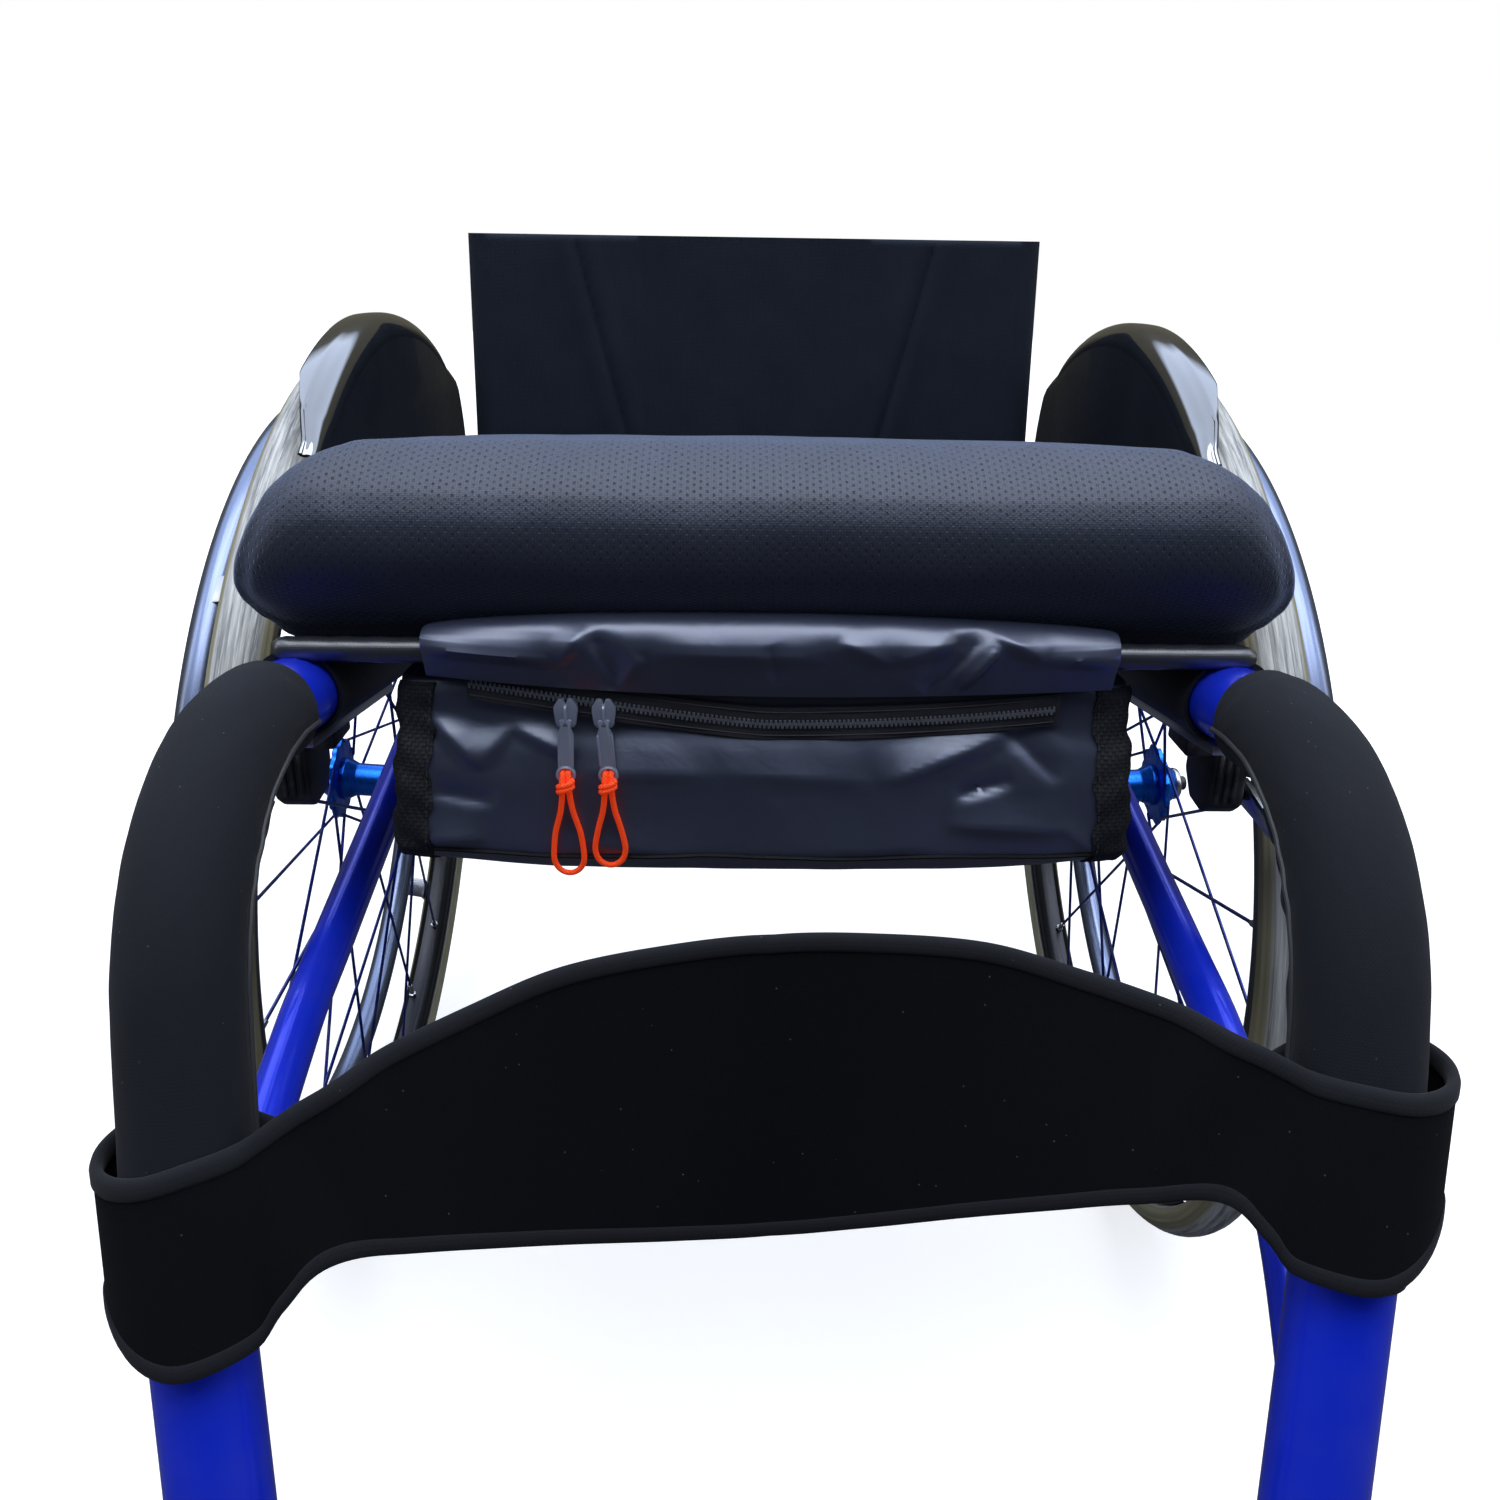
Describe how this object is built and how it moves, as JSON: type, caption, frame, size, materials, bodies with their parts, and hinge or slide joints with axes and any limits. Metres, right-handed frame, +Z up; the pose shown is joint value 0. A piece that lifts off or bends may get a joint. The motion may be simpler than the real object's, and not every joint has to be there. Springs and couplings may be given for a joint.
{
  "type": "active wheelchair",
  "caption": "Rigid active wheelchair with cambered spoked wheels, fold-down low backrest, seat cushion, front pouch and calf strap.",
  "frame": {"origin": "on the floor, at the centre of the chair's plan", "axes": "+Z up, the chair faces -Y, +X is the sitter's left"},
  "size_m": [0.6468, 0.9683, 0.664],
  "materials": {
    "frame_blue": "gloss metallic blue",
    "anodised_blue": "bright anodised blue",
    "black_metal": "satin black",
    "rim_black": "anodised black",
    "silver": "satin",
    "tyre_grey": "used pale grey rubber",
    "castor_black": "solid rubber",
    "black_cloth": "matte woven cloth",
    "sleeve_foam": "matte laminated foam",
    "cushion_mesh": "knitted spacer mesh",
    "pouch_nylon": "coated nylon",
    "guard_black": "gloss laminate",
    "black_plastic": "moulded",
    "zip_tape": "woven tape with moulded teeth",
    "zip_metal": "worn nickel",
    "cord_orange": "braided cord"
  },
  "bodies": {
    "chair": {"side_frame_left": "frame_blue", "side_frame_right": "frame_blue", "rail_plug_left": "black_plastic", "rail_plug_right": "black_plastic", "axle_tube": "anodised_blue", "axle_upright_left": "black_metal", "axle_upright_right": "black_metal", "axle_pin_left": "silver", "axle_pin_right": "silver", "footrest_tube": "silver", "footplate": "black_plastic", "seat_sling": "black_cloth", "seat_cushion": "cushion_mesh", "back_hinge_left": "black_metal", "back_hinge_right": "black_metal", "side_guard_left": "guard_black", "side_guard_right": "guard_black", "knee_sleeve_left": "sleeve_foam", "knee_sleeve_right": "sleeve_foam", "calf_strap": "sleeve_foam", "bag_body": "pouch_nylon", "bag_flap": "pouch_nylon", "zip": "zip_tape", "lock_body_left": "black_metal", "lock_body_right": "black_metal"},
    "backrest": {"back_frame": "black_metal", "back_upholstery": "black_cloth"},
    "wheel_left": {"hub_left": "anodised_blue", "rim_left": "rim_black", "tyre_left": "tyre_grey", "handrim_left": "silver"},
    "wheel_right": {"hub_right": "anodised_blue", "rim_right": "rim_black", "tyre_right": "tyre_grey", "handrim_right": "silver"},
    "button_left": {"axle_button_left": "black_plastic"},
    "button_right": {"axle_button_right": "black_plastic"},
    "swivel_left": {"castor_fork_left": "black_metal", "castor_bolt_left": "silver"},
    "swivel_right": {"castor_fork_right": "black_metal", "castor_bolt_right": "silver"},
    "castor_left": {"castor_core_left": "black_plastic", "castor_tyre_left": "castor_black"},
    "castor_right": {"castor_core_right": "black_plastic", "castor_tyre_right": "castor_black"},
    "lever_left": {"lock_lever_left": "black_plastic"},
    "lever_right": {"lock_lever_right": "black_plastic"},
    "shoe_left": {"lock_shoe_left": "silver"},
    "shoe_right": {"lock_shoe_right": "silver"},
    "slider_first": {"zip_slider_first": "zip_metal"},
    "slider_second": {"zip_slider_second": "zip_metal"},
    "pull_first": {"zip_pull_first": "zip_metal", "cord_loop_first": "cord_orange"},
    "pull_second": {"zip_pull_second": "zip_metal", "cord_loop_second": "cord_orange"}
  },
  "joints": [
    {"name": "backrest_fold", "type": "hinge", "parent": "chair", "child": "backrest", "pos_m": [0, 0.3219, 0.506], "axis": [1, 0, 0], "range_deg": [0, 58]},
    {"name": "wheel_left_spin", "type": "hinge", "parent": "chair", "child": "wheel_left", "pos_m": [0.2655, 0.1819, 0.3024], "axis": [0.9979, 0, 0.0645], "continuous": true},
    {"name": "wheel_right_spin", "type": "hinge", "parent": "chair", "child": "wheel_right", "pos_m": [-0.2655, 0.1819, 0.3024], "axis": [0.9979, 0, -0.0645], "continuous": true},
    {"name": "button_left_press", "type": "slide", "parent": "chair", "child": "button_left", "axis": [-0.9979, 0, -0.0645], "range_m": [0, 0.003], "stiffness_N_per_m": 400},
    {"name": "button_right_press", "type": "slide", "parent": "chair", "child": "button_right", "axis": [0.9979, 0, -0.0645], "range_m": [0, 0.003], "stiffness_N_per_m": 400},
    {"name": "castor_left_swivel", "type": "hinge", "parent": "chair", "child": "swivel_left", "pos_m": [0.178, -0.2961, 0.11], "axis": [0, 0, 1], "continuous": true},
    {"name": "castor_right_swivel", "type": "hinge", "parent": "chair", "child": "swivel_right", "pos_m": [-0.178, -0.2961, 0.11], "axis": [0, 0, 1], "continuous": true},
    {"name": "castor_left_spin", "type": "hinge", "parent": "swivel_left", "child": "castor_left", "pos_m": [0.178, -0.2601, 0.05], "axis": [1, 0, 0], "continuous": true},
    {"name": "castor_right_spin", "type": "hinge", "parent": "swivel_right", "child": "castor_right", "pos_m": [-0.178, -0.2601, 0.05], "axis": [1, 0, 0], "continuous": true},
    {"name": "lever_left_turn", "type": "hinge", "parent": "chair", "child": "lever_left", "pos_m": [0.2344, -0.0801, 0.43], "axis": [1, 0, 0], "range_deg": [0, 60]},
    {"name": "lever_right_turn", "type": "hinge", "parent": "chair", "child": "lever_right", "pos_m": [-0.2344, -0.0801, 0.43], "axis": [1, 0, 0], "range_deg": [0, 60]},
    {"name": "shoe_left_turn", "type": "hinge", "parent": "chair", "child": "shoe_left", "pos_m": [0.239, -0.0801, 0.414], "axis": [1, 0, 0], "range_deg": [0, 25.5]},
    {"name": "shoe_right_turn", "type": "hinge", "parent": "chair", "child": "shoe_right", "pos_m": [-0.239, -0.0801, 0.414], "axis": [1, 0, 0], "range_deg": [0, 25.5]},
    {"name": "zip_first_slide", "type": "slide", "parent": "chair", "child": "slider_first", "axis": [1, 0, 0], "range_m": [-0.032, 0]},
    {"name": "zip_second_slide", "type": "slide", "parent": "chair", "child": "slider_second", "axis": [1, 0, 0], "range_m": [0, 0.19]},
    {"name": "pull_first_swing", "type": "hinge", "parent": "slider_first", "child": "pull_first", "pos_m": [-0.087, -0.1347, 0.468], "axis": [-1, 0, 0], "range_deg": [0, 120]},
    {"name": "pull_second_swing", "type": "hinge", "parent": "slider_second", "child": "pull_second", "pos_m": [-0.0705, -0.1347, 0.468], "axis": [-1, 0, 0], "range_deg": [0, 120]}
  ],
  "couplings": [
    {"joint": "shoe_left_turn", "follows": "lever_left_turn", "ratio": 0.425},
    {"joint": "shoe_right_turn", "follows": "lever_right_turn", "ratio": 0.425}
  ]
}
